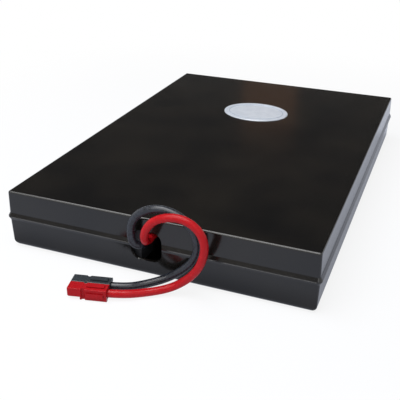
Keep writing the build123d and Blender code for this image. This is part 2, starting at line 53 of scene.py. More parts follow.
ENDS = ("front", "rear")
PLACES = ("outer", "inner")
# How far the seam's ridge stands out of the case's walls
RIDGE_PROUD_MM = 1.2
# Noise rarely leaves the range between these two values
NOISE_LOW = 0.3
NOISE_HIGH = 0.7
# Points of a CAD mesh that lie closer than this are one point
WELD_MM = 0.002
# Triangles of a CAD mesh that turn less than this are one flat face
FLAT_DEG = 1.0
WHITE = "#ffffff"
WARM_WHITE = "#fffaf4"

log = logging.getLogger("battery_cartridge")

Socket = bpy.types.NodeSocket
Value = float | int | str | tuple[float, ...] | Vector | Socket | bpy.types.Material


def linear(colour: str) -> tuple[float, float, float, float]:
    """Turns an sRGB hex colour into linear red, green, blue and alpha.

    Args:
        colour: the colour as it should look, such as "#b01a1e".

    Returns:
        the four linear values that a shader takes.
    """
    levels = [int(colour[place:place + 2], 16) / 255 for place in (1, 3, 5)]
    curve = [level / 12.92 if level <= 0.04045 else ((level + 0.055) / 1.055) ** 2.4 for level in levels]
    return curve[0], curve[1], curve[2], 1.0


def add_node(tree: bpy.types.NodeTree, kind: str, inputs: dict[str | int, Value] | None = None,
             **settings: object) -> bpy.types.Node:
    """Adds one node with its settings, values and links.

    Args:
        tree: the node tree that takes it.
        kind: the node's type name.
        inputs: values, or output sockets to link, by the input's name or number.
        settings: the node's own options.

    Returns:
        the new node.
    """
    node = tree.nodes.new(kind)
    for option, choice in settings.items():
        setattr(node, option, choice)
    for key, value in (inputs or {}).items():
        if isinstance(value, Socket):
            tree.links.new(value, node.inputs[key])
        else:
            node.inputs[key].default_value = value
    return node


def add_maths(tree: bpy.types.NodeTree, operation: str, first: Socket | float,
              second: Socket | float) -> Socket:
    """Adds a sum on two values.

    Args:
        tree: the node tree that takes it.
        operation: what is done with the values, such as "MULTIPLY".
        first: the first value.
        second: the second value.

    Returns:
        the result's socket.
    """
    return add_node(tree, "ShaderNodeMath", {0: first, 1: second}, operation=operation).outputs[0]


def mix_colours(tree: bpy.types.NodeTree, factor: Socket, first: str, second: str) -> Socket:
    """Adds a colour mix.

    Args:
        tree: the node tree that takes it.
        factor: how much of the second colour shows.
        first: the colour at a factor of 0.
        second: the colour at a factor of 1.

    Returns:
        the mixed colour's socket.
    """
    mix = add_node(tree, "ShaderNodeMix", {0: factor}, data_type="RGBA")
    for number, colour in ((6, first), (7, second)):
        mix.inputs[number].default_value = linear(colour)
    return mix.outputs[2]


def per_metre(size_mm: float) -> float:
    """Gives the texture scale at which one feature has a set size.

    Args:
        size_mm: how wide one feature is.

    Returns:
        how many features there are to a metre.
    """
    return 1 / (size_mm * MM)


def blank_material(name: str) -> bpy.types.Material:
    """Makes a material with nothing in its node tree.

    Args:
        name: the material's name.

    Returns:
        the new material.
    """
    material = bpy.data.materials.new(name)
    material.use_nodes = True
    material.node_tree.nodes.clear()
    return material


@dataclass(frozen=True)
class Finish:
    """A surface as it comes from its process, and the values that give its look.

    Attributes:
        name: the material's name.
        colour: its colour in plain light.
        roughness: from 0, a mirror, to 1, chalk.
        ior: how strongly it bends light, where it isn't metal.
        metallic: 1 for bare or plated metal.
        gloss: the level of its reflection, where 0.5 is what the ior gives by itself.
    """

    name: str
    colour: str
    roughness: float
    ior: float = 1.5
    metallic: float = 0.0
    gloss: float = 0.5

    def material(self) -> bpy.types.Material:
        """Builds the material: one shader, dressed by the finish's own pattern.

        Returns:
            the new material.
        """
        material = blank_material(self.name)
        tree = material.node_tree
        values = {"Base Color": linear(self.colour), "Roughness": self.roughness, "Metallic": self.metallic}
        if self.metallic == 0:
            values |= {"IOR": self.ior, "Specular IOR Level": self.gloss}
        shader = add_node(tree, "ShaderNodeBsdfPrincipled", values)
        add_node(tree, "ShaderNodeOutputMaterial", {"Surface": shader.outputs["BSDF"]})
        self.pattern(tree, shader)
        return material

    def pattern(self, tree: bpy.types.NodeTree, shader: bpy.types.Node) -> None:
        """Adds nothing here: each finish below has a pattern of its own.

        Args:
            tree: the material's tree.
            shader: the node that shows the pattern.
        """

    def noise(self, tree: bpy.types.NodeTree, size_mm: float, detail: float = 2.0,
              stretch: tuple[float, float, float] = (1.0, 1.0, 1.0)) -> Socket:
        """Adds noise on the piece's own coordinates.

        Args:
            tree: the material's tree.
            size_mm: the size of one blotch on the object.
            detail: how many finer layers lie on it.
            stretch: how much denser the noise is along x, y and z.

        Returns:
            the noise's grey output.
        """
        place = add_node(tree, "ShaderNodeTexCoord").outputs["Object"]
        turned = add_node(tree, "ShaderNodeMapping", {"Vector": place, "Scale": stretch}).outputs["Vector"]
        values = {"Vector": turned, "Scale": per_metre(size_mm), "Detail": detail}
        return add_node(tree, "ShaderNodeTexNoise", values).outputs["Fac"]

    def spread(self, tree: bpy.types.NodeTree, source: Socket, low: float, high: float) -> Socket:
        """Maps a pattern's usual range to the range from low to high.

        Args:
            tree: the material's tree.
            source: the pattern, from 0 to 1.
            low: the value where the pattern is low.
            high: the value where it is high.

        Returns:
            the mapped value.
        """
        usual = {"Value": source, "From Min": NOISE_LOW, "From Max": NOISE_HIGH}
        values = usual | {"To Min": low, "To Max": high}
        return add_node(tree, "ShaderNodeMapRange", values).outputs["Result"]

    def vary_colour(self, tree: bpy.types.NodeTree, shader: bpy.types.Node, source: Socket,
                    second: str) -> None:
        """Lets the colour drift to a second one by a pattern.

        Args:
            tree: the material's tree.
            shader: the node that takes the colour.
            source: the pattern, from 0 to 1.
            second: the colour where the pattern is high.
        """
        factor = self.spread(tree, source, 0.0, 1.0)
        tree.links.new(mix_colours(tree, factor, self.colour, second), shader.inputs["Base Color"])

    def vary_roughness(self, tree: bpy.types.NodeTree, shader: bpy.types.Node, source: Socket,
                       less: float, more: float) -> None:
        """Lets the roughness drift round its own value by a pattern.

        Args:
            tree: the material's tree.
            shader: the node that takes the roughness.
            source: the pattern, from 0 to 1.
            less: how far it falls where the pattern is low.
            more: how far it rises where the pattern is high.
        """
        roughness = self.spread(tree, source, self.roughness - less, self.roughness + more)
        tree.links.new(roughness, shader.inputs["Roughness"])

    def bump(self, tree: bpy.types.NodeTree, height: Socket, depth_mm: float,
             under: Socket | None = None) -> Socket:
        """Turns a pattern into relief.

        Args:
            tree: the material's tree.
            height: the pattern, from 0 to 1.
            depth_mm: how deep the relief is.
            under: a relief that this one lies on.

        Returns:
            the normal that the shader takes.
        """
        values = {"Height": height, "Distance": depth_mm * MM, "Strength": 1.0}
        if under:
            values["Normal"] = under
        return add_node(tree, "ShaderNodeBump", values).outputs["Normal"]


@dataclass(frozen=True)
class PolishedMoulding(Finish):
    """ABS moulded in a polished tool: deep gloss, faint sink waves and a dusting of fine scuffs.

    Attributes:
        second_colour: what the colour drifts to from wave to wave.
        wave_mm: the size of the sink waves.
        wave_depth_mm: their depth.
        ripple_mm: the size of the finer ripple.
        ripple_depth_mm: its depth.
        scuff_mm: the size of one patch of scuffs.
        scuff_spread: how far the scuffs move the roughness, either way.
    """

    second_colour: str = "#1b1a1a"
    wave_mm: float = 55.0
    wave_depth_mm: float = 0.05
    ripple_mm: float = 9.0
    ripple_depth_mm: float = 0.003
    scuff_mm: float = 1.6
    scuff_spread: float = 0.05

    def pattern(self, tree: bpy.types.NodeTree, shader: bpy.types.Node) -> None:
        """Adds the waves that a flat moulding gets as it cools, and the scuffs of handling.

        Args:
            tree: the material's tree.
            shader: the node that shows the pattern.
        """
        broad = self.noise(tree, self.wave_mm, detail=1.0)
        ripple = self.noise(tree, self.ripple_mm)
        scuff = self.noise(tree, self.scuff_mm, detail=4.0)
        self.vary_colour(tree, shader, broad, self.second_colour)
        self.vary_roughness(tree, shader, scuff, self.scuff_spread, self.scuff_spread)
        waves = self.bump(tree, broad, self.wave_depth_mm)
        tree.links.new(self.bump(tree, ripple, self.ripple_depth_mm, waves), shader.inputs["Normal"])


@dataclass(frozen=True)
class GrainedMoulding(Finish):
    """Plastic moulded in a spark-eroded tool: an even fine grain that breaks the highlights up.

    Attributes:
        second_colour: what the colour drifts to.
        grain_mm: the size of the grain.
        grain_depth_mm: its depth.
        grain_spread: how far the grain moves the roughness, either way.
        cloud_mm: the size of the drift in the colour.
    """

    second_colour: str = "#000000"
    grain_mm: float = 0.5
    grain_depth_mm: float = 0.012
    grain_spread: float = 0.06
    cloud_mm: float = 6.0

    def pattern(self, tree: bpy.types.NodeTree, shader: bpy.types.Node) -> None:
        """Adds the tool's grain and a slow drift of the colour from flow in the mould.

        Args:
            tree: the material's tree.
            shader: the node that shows the pattern.
        """
        cloud = self.noise(tree, self.cloud_mm)
        grain = self.noise(tree, self.grain_mm, detail=3.0)
        self.vary_colour(tree, shader, cloud, self.second_colour)
        self.vary_roughness(tree, shader, grain, self.grain_spread, self.grain_spread)
        tree.links.new(self.bump(tree, grain, self.grain_depth_mm), shader.inputs["Normal"])


@dataclass(frozen=True)
class ExtrudedJacket(Finish):
    """PVC extruded over strands: a soft sheen, with the lay of the strands just felt under it.

    Attributes:
        second_colour: what the colour drifts to.
        mottle_mm: the size of the uneven patches of the skin.
        mottle_spread: how far they move the roughness, either way.
        lay_mm: the size of the relief over the strands.
        lay_depth_mm: its depth.
    """

    second_colour: str = "#000000"
    mottle_mm: float = 3.0
    mottle_spread: float = 0.07
    lay_mm: float = 1.5
    lay_depth_mm: float = 0.03

    def pattern(self, tree: bpy.types.NodeTree, shader: bpy.types.Node) -> None:
        """Adds the uneven skin that the die leaves and the slight relief of the strands.

        Args:
            tree: the material's tree.
            shader: the node that shows the pattern.
        """
        mottle = self.noise(tree, self.mottle_mm, detail=3.0)
        lay = self.noise(tree, self.lay_mm)
        self.vary_colour(tree, shader, mottle, self.second_colour)
        self.vary_roughness(tree, shader, mottle, self.mottle_spread, self.mottle_spread)
        tree.links.new(self.bump(tree, lay, self.lay_depth_mm), shader.inputs["Normal"])


@dataclass(frozen=True)
class DrawnMetal(Finish):
    """Strip metal as rolled and plated: fine lines along the strip that stretch the highlights.

    Attributes:
        line_mm: how far apart the rolling lines are.
        line_depth_mm: their depth.
        bright_spread: how far the roughness falls on the brightest lines.
        dull_spread: how far it rises on the dullest.
        stretch: how dense the lines are along x, y and z, least along the strip.
    """

    line_mm: float = 0.25
    line_depth_mm: float = 0.004
    bright_spread: float = 0.08
    dull_spread: float = 0.1
    stretch: tuple[float, float, float] = (0.08, 1.0, 1.0)

    def pattern(self, tree: bpy.types.NodeTree, shader: bpy.types.Node) -> None:
        """Adds the rolling lines to the roughness and the relief.

        Args:
            tree: the material's tree.
            shader: the node that shows the pattern.
        """
        lines = self.noise(tree, self.line_mm, stretch=self.stretch)
        self.vary_roughness(tree, shader, lines, self.bright_spread, self.dull_spread)
        tree.links.new(self.bump(tree, lines, self.line_depth_mm), shader.inputs["Normal"])


@dataclass(frozen=True)
class ClosedCellFoam(Finish):
    """Foam sliced from a block: open half cells all over a matt face.

    Attributes:
        cell_mm: the size of a cell.
        cell_depth_mm: how deep the cut cells are.
    """

    cell_mm: float = 0.9
    cell_depth_mm: float = 0.25

    def pattern(self, tree: bpy.types.NodeTree, shader: bpy.types.Node) -> None:
        """Adds the cut cells, each a small pit with a thin wall round it.

        Args:
            tree: the material's tree.
            shader: the node that shows the pattern.
        """
        place = add_node(tree, "ShaderNodeTexCoord").outputs["Object"]
        cells = add_node(tree, "ShaderNodeTexVoronoi", {"Vector": place, "Scale": per_metre(self.cell_mm)})
        normal = self.bump(tree, cells.outputs["Distance"], self.cell_depth_mm)
        tree.links.new(normal, shader.inputs["Normal"])


@dataclass(frozen=True)
class PearlFoil(Finish):
    """Satin foil under clear lacquer: a pale field with a fine sparkle and a soft gloss on top.

    Attributes:
        second_colour: what the colour drifts to.
        flake_mm: the size of the foil's flakes.
        flake_depth_mm: their relief.
        flake_spread: how far they move the roughness, either way.
        cloud_mm: the size of the drift in the colour.
        coat: how much lacquer lies on the foil.
        coat_roughness: how rough the lacquer is.
    """

    second_colour: str = "#ffffff"
    flake_mm: float = 0.7
    flake_depth_mm: float = 0.004
    flake_spread: float = 0.08
    cloud_mm: float = 6.3
    coat: float = 0.6
    coat_roughness: float = 0.12

    def pattern(self, tree: bpy.types.NodeTree, shader: bpy.types.Node) -> None:
        """Adds the lacquer, and the foil's flakes, which shift the tone a little all over.

        Args:
            tree: the material's tree.
            shader: the node that shows the pattern.
        """
        shader.inputs["Coat Weight"].default_value = self.coat
        shader.inputs["Coat Roughness"].default_value = self.coat_roughness
        flakes = self.noise(tree, self.flake_mm, detail=3.0)
        clouds = self.noise(tree, self.cloud_mm)
        self.vary_colour(tree, shader, clouds, self.second_colour)
        self.vary_roughness(tree, shader, flakes, self.flake_spread, self.flake_spread)
        tree.links.new(self.bump(tree, flakes, self.flake_depth_mm), shader.inputs["Normal"])


# ABS from a polished tool: nearly black, and it mirrors what lies at a low angle
CASE_ABS = PolishedMoulding(
    "moulded_black_abs", "#0b0b0c", 0.15, 1.54, gloss=0.46, second_colour="#181614", wave_mm=42.0,
)
# Foil badge: a cool silver white, under lacquer
BADGE_FOIL = PearlFoil("silver_white_foil", "#c2cad6", 0.34, 1.5, second_colour="#ced5df")
# The badge's fine ring: the same foil a shade greyer
RING_FOIL = PearlFoil("grey_foil_line", "#9aa5b4", 0.34, 1.5, second_colour="#a8b2c0")
# Battery cases: grey black ABS with a dull grain that hides flow marks
BATTERY_ABS = GrainedMoulding("grained_grey_abs", "#34363a", 0.55, 1.54, second_colour="#3b3d42")
# Vent covers: the same resin a shade darker, so that the ribs read
VENT_ABS = GrainedMoulding("grained_vent_abs", "#26282b", 0.5, 1.54, second_colour="#2c2e32")
# Push-on tabs: brass strip under bright tin
TIN_PLATE = DrawnMetal("tinned_brass_strip", "#cfccc2", 0.28, metallic=1.0, stretch=(1.0, 0.08, 1.0))
# Receptacle sleeves: nylon, a little waxy and dyed yellow for this wire size
SLEEVE_NYLON = GrainedMoulding("yellow_nylon_sleeve", "#c99a1d", 0.38, 1.53, second_colour="#d3a62c")
# Packing foam: charcoal polyethylene, matt and pitted
PACKING_FOAM = ClosedCellFoam("charcoal_polyethylene_foam", "#2a2b2d", 0.9, 1.5)
# Red lead jacket: soft PVC, deeply dyed, whose sheen is wide and low
RED_PVC = ExtrudedJacket("red_pvc_jacket", "#a60e16", 0.24, 1.53, gloss=0.16, second_colour="#ae131b")
# Black lead jackets: the same PVC with soot in it, more uneven and shinier
BLACK_PVC = ExtrudedJacket(
    "black_pvc_jacket", "#171a20", 0.28, 1.53, gloss=0.45, second_colour="#292d36",
    mottle_mm=1.8, lay_depth_mm=0.05,
)
# Connector housings: polycarbonate with a satin grain, hard and sharp edged
RED_PC = GrainedMoulding("red_polycarbonate", "#9d1118", 0.3, 1.58, gloss=0.1, second_colour="#a5161e")
BLACK_PC = GrainedMoulding("black_polycarbonate", "#20262a", 0.36, 1.58, gloss=0.4, second_colour="#272d33")
# Contacts: copper strip under silver, bright with a warm cast
SILVER_PLATE = DrawnMetal("silver_plated_copper", "#e6e1d6", 0.22, metallic=1.0)
# Springs and the roll pin: stainless strip, cooler and harder than the silver
SPRING_STEEL = DrawnMetal("stainless_spring_strip", "#b9babb", 0.3, metallic=1.0)


@functools.cache
def material_of(finish: Finish) -> bpy.types.Material:
    """Builds a finish's material once and gives the same one again after that.

    Args:
        finish: the finish that it shows.

    Returns:
        the finish's one material.
    """
    return finish.material()


def dress(piece: bpy.types.Object, finish: Finish) -> None:
    """Gives a piece or a CAD node its finish in every material slot.

    Args:
        piece: the object to dress.
        finish: what its surface is.
    """
    if not piece.material_slots:
        piece.data.materials.append(material_of(finish))
    for holder in piece.material_slots:
        holder.material = material_of(finish)


def dress_nodes(nodes: list[str], finish: Finish) -> None:
    """Dresses CAD nodes that keep their own shape.

    Args:
        nodes: the names of the nodes.
        finish: what their surface is.
    """
    for node in nodes:
        dress(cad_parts[node], finish)
        log.info("dressed %s in %s", node, finish.name)


def add_object(name: str, data: bpy.types.ID) -> bpy.types.Object:
    """Adds an object at the origin, in the scene's own collection.

    Args:
        name: the object's name.
        data: the mesh, curve, lamp or camera that it holds.

    Returns:
        the new object.
    """
    piece = bpy.data.objects.new(name, data)
    bpy.context.scene.collection.objects.link(piece)
    return piece


def settle(piece: bpy.types.Object, finish: Finish, slot: str, *nodes: str) -> bpy.types.Object:
    """Dresses a finished piece, puts it on the body and hides the CAD nodes that it replaces.

    Args:
        piece: the finished piece, in place.
        finish: what its surface is.
        slot: a material slot's name, which is not used.
        nodes: the CAD nodes that it replaces, if any.

    Returns:
        the same piece.
    """
    dress(piece, finish)
    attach(piece, BODY)
    if nodes:
        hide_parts(*nodes)
    log.info("made %s", piece.name)
    return piece


def softened_copy(node: str, name: str, edge_mm: float, angle_deg: float = 30.0,
                  steps: int = 2) -> bpy.types.Object:
    """Copies a CAD node with its loose triangles merged and its edges slightly rounded.

    Args:
        node: the CAD node to copy.
        name: the new piece's name.
        edge_mm: how wide the rounding is.
        angle_deg: the least turn of an edge that is rounded.
        steps: how many faces make the rounding.

    Returns:
        the copy, smooth apart from its real edges.
    """
    mesh = bpy.data.meshes.new(name)
    work = bmesh.new()
    work.from_mesh(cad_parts[node].data)
    for layer in list(work.loops.layers.int.values()):
        work.loops.layers.int.remove(layer)
    bmesh.ops.remove_doubles(work, verts=work.verts, dist=WELD_MM * MM)
    bmesh.ops.dissolve_limit(work, angle_limit=math.radians(FLAT_DEG), verts=work.verts, edges=work.edges)
    for face in work.faces:
        face.smooth = True
    work.to_mesh(mesh)
    work.free()
    mesh.set_sharp_from_angle(angle=math.radians(angle_deg))
    piece = add_object(name, mesh)
    bevel = piece.modifiers.new("softened_edges", "BEVEL")
    bevel.width = edge_mm * MM
    bevel.segments = steps
    bevel.limit_method = "ANGLE"
    bevel.angle_limit = math.radians(angle_deg)
    bevel.harden_normals = True
    return piece


@dataclass
class ShapeTree:
    """A Geometry Nodes tree with named inputs, whose result is kept as a plain mesh.

    Attributes:
        name: the name of the piece that it makes.
        finish: what the piece's surface is.
        asked: each input's name and value.
        tree: the tree itself.
        given: the sockets to link from, by the input's name.
    """

    name: str
    finish: Finish
    asked: dict[str, float | int]
    tree: bpy.types.NodeTree = field(init=False)
    given: dict[str, Socket] = field(init=False)

    def __post_init__(self) -> None:
        """Makes the tree and gives it its named inputs."""
        self.tree = bpy.data.node_groups.new(self.name, "GeometryNodeTree")
        for way in ("INPUT", "OUTPUT"):
            self.tree.interface.new_socket("Geometry", in_out=way, socket_type="NodeSocketGeometry")
        for name, value in self.asked.items():
            kind = "NodeSocketInt" if isinstance(value, int) else "NodeSocketFloat"
            self.tree.interface.new_socket(name, in_out="INPUT", socket_type=kind)
        entry = self.tree.nodes.new("NodeGroupInput")
        self.given = {socket.name: socket for socket in entry.outputs if socket.name}

    def vector(self, x: Socket | float = 0.0, y: Socket | float = 0.0, z: Socket | float = 0.0) -> Socket:
        """Joins three values into a vector.

        Args:
            x: the first value.
            y: the second value.
            z: the third value.

        Returns:
            the vector's socket.
        """
        return add_node(self.tree, "ShaderNodeCombineXYZ", {0: x, 1: y, 2: z}).outputs[0]

    def shape(self, kind: str, **inputs: Value) -> Socket:
        """Adds a node that makes or changes a shape.

        Args:
            kind: the node's type name, without its opening word.
            inputs: its values and links, by the input's name, with an underscore for each space.

        Returns:
            the shape's socket.
        """
        named = {name.replace("_", " "): value for name, value in inputs.items()}
        return add_node(self.tree, f"GeometryNode{kind}", named).outputs[0]

    def keep(self, shape: Socket) -> bpy.types.Object:
        """Ends the tree, runs it and keeps its result as a plain mesh.

        Args:
            shape: the tree's last geometry.

        Returns:
            the piece, with no modifier on it.
        """
        real = self.shape("RealizeInstances", Geometry=shape)
        dressed = self.shape("SetMaterial", Geometry=real, Material=material_of(self.finish))
        add_node(self.tree, "NodeGroupOutput", {0: dressed})
        piece = add_object(self.name, bpy.data.meshes.new(self.name))
        modifier = piece.modifiers.new("shape", "NODES")
        modifier.node_group = self.tree
        for item in self.tree.interface.items_tree:
            if item.in_out == "INPUT" and item.name in self.asked:
                modifier[item.identifier] = self.asked[item.name]
        graph = bpy.context.evaluated_depsgraph_get()
        mesh = bpy.data.meshes.new_from_object(piece.evaluated_get(graph))
        piece.modifiers.clear()
        piece.data = mesh
        mesh.name = self.name
        return piece


class Pole(Enum):
    """The two sides of the circuit, each with its colour."""

    RED = "red"
    BLACK = "black"


@dataclass(frozen=True)
class Viewpoint:
    """The camera, fitted to the case's edges as the photograph shows them.

    Attributes:
        place: where it stands.
        azimuth_deg: how far it has gone round the case from the front, towards the right.
        elevation_deg: how far down it looks.
        roll_deg: how far it leans to one side.
        lens_mm: the lens's focal length.
        sensor_mm: the sensor's width.
        near_clip: the nearest thing that it sees.
    """

    place: tuple[float, float, float] = (0.15799, -0.48098, 0.23612)
    azimuth_deg: float = 21.214
    elevation_deg: float = 26.569
    roll_deg: float = 0.669
    lens_mm: float = 59.667
    sensor_mm: float = 36.0
    near_clip: float = 0.01

    def build(self) -> bpy.types.Object:
        """Makes the camera and sets it as the scene's own.

        Returns:
            the camera's object.
        """
        angles = (self.azimuth_deg, self.elevation_deg, self.roll_deg)
        azimuth, elevation, roll = (math.radians(angle) for angle in angles)
        back = Vector((
            math.sin(azimuth) * math.cos(elevation),
            -math.cos(azimuth) * math.cos(elevation),
            math.sin(elevation),
        ))
        level = Vector((math.cos(azimuth), math.sin(azimuth), 0.0))
        upright = back.cross(level)
        right = level * math.cos(roll) + upright * math.sin(roll)
        up = upright * math.cos(roll) - level * math.sin(roll)
        camera = bpy.data.cameras.new("camera")
        camera.lens = self.lens_mm
        camera.sensor_width = self.sensor_mm
        camera.clip_start = self.near_clip
        camera.dof.use_dof = False
        seat = add_object("camera", camera)
        turn = Matrix((right, up, back)).transposed().to_4x4()
        seat.matrix_world = Matrix.Translation(self.place) @ turn
        bpy.context.scene.camera = seat
        log.info("placed the camera")
        return seat


@dataclass(frozen=True)
class SoftBox:
    """One soft white lamp.

    Attributes:
        name: the lamp's name.
        place: where it hangs.
        target: what it faces.
        width: its longer side.
        depth: its other side.
        power: its power in watts.
    """

    name: str
    place: tuple[float, float, float]
    target: tuple[float, float, float]
    width: float
    depth: float
    power: float

    def hang(self) -> None:
        """Makes the lamp and turns it to its target."""
        lamp = bpy.data.lights.new(self.name, "AREA")
        lamp.shape = "RECTANGLE"
        lamp.size = self.width
        lamp.size_y = self.depth
        lamp.energy = self.power
        seat = add_object(self.name, lamp)
        aim = (Vector(self.target) - Vector(self.place)).to_track_quat("-Z", "Y")
        seat.matrix_world = Matrix.Translation(self.place) @ aim.to_matrix().to_4x4()


def add_panel(name: str, corners: list[Vector], material: bpy.types.Material) -> bpy.types.Object:
    """Adds one flat panel that isn't part of the object.

    Args:
        name: the panel's name.
        corners: its corners, in order.
        material: what it is made of.

    Returns:
        the panel.
    """
    mesh = bpy.data.meshes.new(name)
    mesh.from_pydata(corners, [], [range(len(corners))])
    mesh.materials.append(material)
    panel = add_object(name, mesh)
    return panel


@dataclass(frozen=True)
class Flag:
    """One dim upright panel out of the picture, there for the polished case to mirror.

    Attributes:
        name: the panel's name.
        azimuth_deg: where it stands, turned from +Y towards +X round the case.
        distance: how far from the case's middle it stands.
        low: the height of its lower edge.
        high: the height of its upper edge.
        width: how wide it is.
        glow: its brightness, where white is 1.
        colour: the tint of its cloth.
    """

    name: str
    azimuth_deg: float
    distance: float
    low: float
    high: float
    width: float
    glow: float
    colour: str = WARM_WHITE

    def stand(self) -> None:
        """Makes the panel, facing the case, and hides it from the camera alone."""
        azimuth = math.radians(self.azimuth_deg)
        foot = Vector((math.sin(azimuth), math.cos(azimuth), 0.0)) * self.distance
        across = Vector((math.cos(azimuth), -math.sin(azimuth), 0.0)) * self.width / 2
        low, high = Vector((0.0, 0.0, self.low)), Vector((0.0, 0.0, self.high))
        corners = [foot - across + low, foot + across + low, foot + across + high, foot - across + high]
        material = blank_material(f"{self.name}_cloth")
        tree = material.node_tree
        cloth = add_node(tree, "ShaderNodeEmission", {"Color": linear(self.colour), "Strength": self.glow})
        add_node(tree, "ShaderNodeOutputMaterial", {"Surface": cloth.outputs[0]})
        add_panel(self.name, corners, material).visible_camera = False


@dataclass(frozen=True)
class Studio:
    """A white floor and surround, dim flags for the polished top, and lamps at a plain level.

    Attributes:
        floor_reach: how far the floor goes from the middle.
        paper: the colour of the floor's matt share, which takes the object's shadow.
        seen_glow: the share of the floor that glows for the camera, next to the case.
        glow_reach: how far from the case's wall the floor is plain white to the camera.
        mirrored_tint: the floor's colour to gloss and glass.
        painted_shadow_glow: its brightness to them next to the case, where a painted shadow darkens the
            floor that the case mirrors.
        painted_shadow_reach: how far from the wall the painted shadow reaches, past which the floor is at
            its full brightness to them.
        fill_glow: how brightly the surround lights what is matt. It is white to the others.
        flags: the panels that stand out of the picture.
        boxes: the lamps.
    """

    floor_reach: float = 6.0
    paper: str = "#dde1ea"
    seen_glow: float = 0.86
    glow_reach: float = 0.35
    mirrored_tint: str = "#e3e8f6"
    # Painted shadow: to gloss and glass, the floor is darkened next to the case's wall, down to this
    # brightness
    painted_shadow_glow: float = 0.55
    painted_shadow_reach: float = 0.03
    fill_glow: float = 0.25
    flags: tuple[Flag, ...] = (
        Flag("back_flag", -20.0, 2.0, 0.34, 3.2, 5.0, 0.062),
        Flag("warm_card", -14.3, 1.9, 0.53, 0.73, 0.2, 0.23, "#ffc9a6"),
        Flag("front_flag", -150.0, 2.0, 0.5, 3.2, 5.0, 0.36),
    )
    boxes: tuple[SoftBox, ...] = (
        SoftBox("overhead_softbox", (-0.25, -0.25, 1.15), (-0.2, -0.1, 0.0), 1.2, 0.6, 13.5),
        SoftBox("front_softbox", (-0.42, -0.88, 0.84), (-0.35, -0.1, 0.0), 1.0, 0.45, 5.5),
        SoftBox("camera_fill", (0.75, -1.1, 0.75), (0.0, -0.1, 0.02), 0.7, 0.7, 1.2),
    )

    def build(self) -> None:
        """Sets the view, the surround, the floor, the flags and the lamps."""
        bpy.context.scene.view_settings.view_transform = "Standard"
        self.make_surround()
        self.make_floor()
        for flag in self.flags:
            flag.stand()
        for box in self.boxes:
            box.hang()
        log.info("set up the studio")

    @staticmethod
    def shows_white(tree: bpy.types.NodeTree, camera_share: Socket | float) -> Socket:
        """Gives how much of the floor or the surround glows by itself, by the kind of ray.

        Args:
            tree: the node tree that takes it.
            camera_share: the share for what the camera sees.

        Returns:
            the camera's share, 1 for gloss and glass, and 0 for the rest.
        """
        path = add_node(tree, "ShaderNodeLightPath").outputs
        share = add_maths(tree, "MULTIPLY", path["Is Camera Ray"], camera_share)
        for ray in ("Is Glossy Ray", "Is Transmission Ray"):
            share = add_maths(tree, "MAXIMUM", share, path[ray])
        return share

    @staticmethod
    def case_half() -> tuple[float, float, float]:
        """Works out half the case's width and length between its walls, from the frame.

        Returns:
            the two halves, and a height that nothing on the floor reaches.
        """
        low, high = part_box("bottom_tray")
        half = (high - low) / 2
        ridge = RIDGE_PROUD_MM * MM
        return half.x - ridge, half.y - ridge, 1.0

    def fade_from_case(self, tree: bpy.types.NodeTree, reach: float, near: float) -> Socket:
        """Gives a value on the floor that grows from near at the case's wall to 1 at a reach.

        Args:
            tree: the floor material's tree.
            reach: how far from the wall it gets to 1.
            near: the value at the wall.

        Returns:
            the value.
        """
        maths = "ShaderNodeVectorMath"
        away = add_node(tree, "ShaderNodeTexCoord").outputs["Object"]
        away = add_node(tree, maths, {0: away}, operation="ABSOLUTE").outputs["Vector"]
        for step, limit in (("SUBTRACT", self.case_half()), ("MAXIMUM", (0.0, 0.0, 0.0))):
            away = add_node(tree, maths, {0: away, 1: limit}, operation=step).outputs["Vector"]
        gap = add_node(tree, maths, {0: away}, operation="LENGTH").outputs["Value"]
        values = {"Value": gap, "From Max": reach, "To Min": near, "To Max": 1.0}
        return add_node(tree, "ShaderNodeMapRange", values, interpolation_type="SMOOTHSTEP").outputs[0]

    def make_surround(self) -> None:
        """Makes the world: white where it is seen or mirrored, and a low even light for the rest."""
        world = bpy.data.worlds.new("studio_surround")
        bpy.context.scene.world = world
        world.use_nodes = True
        tree = world.node_tree
        tree.nodes.clear()
        fill, white = (
            add_node(tree, "ShaderNodeBackground", {"Color": linear(WHITE), "Strength": strength}).outputs[0]
            for strength in (self.fill_glow, 1.0)
        )
        mix = add_node(tree, "ShaderNodeMixShader", {0: self.shows_white(tree, 1.0), 1: fill, 2: white})
        add_node(tree, "ShaderNodeOutputWorld", {"Surface": mix.outputs[0]})

    def make_floor(self) -> None:
        """Makes the floor: white where it is seen, with a share that takes shadow, and white where it is
        mirrored but for a painted shadow next to the case.
        """
        material = blank_material("white_studio_floor")
        tree = material.node_tree
        seen = add_node(tree, "ShaderNodeLightPath").outputs["Is Camera Ray"]
        matt = add_node(tree, "ShaderNodeBsdfDiffuse", {"Color": linear(self.paper)}).outputs[0]
        tint = mix_colours(tree, seen, self.mirrored_tint, WHITE)
        # Painted shadow: to gloss and glass, the floor's glow grows darker towards the case's wall
        contact = self.fade_from_case(tree, self.painted_shadow_reach, self.painted_shadow_glow)
        strength = add_maths(tree, "MAXIMUM", contact, seen)
        glow = add_node(tree, "ShaderNodeEmission", {"Color": tint, "Strength": strength}).outputs[0]
        share = self.shows_white(tree, self.fade_from_case(tree, self.glow_reach, self.seen_glow))
        mix = add_node(tree, "ShaderNodeMixShader", {0: share, 1: matt, 2: glow})
        add_node(tree, "ShaderNodeOutputMaterial", {"Surface": mix.outputs[0]})
        corners = [
            Vector((across, along, 0.0)) * self.floor_reach
            for across, along in ((-1, -1), (1, -1), (1, 1), (-1, 1))
        ]
        add_panel("studio_floor", corners, material)


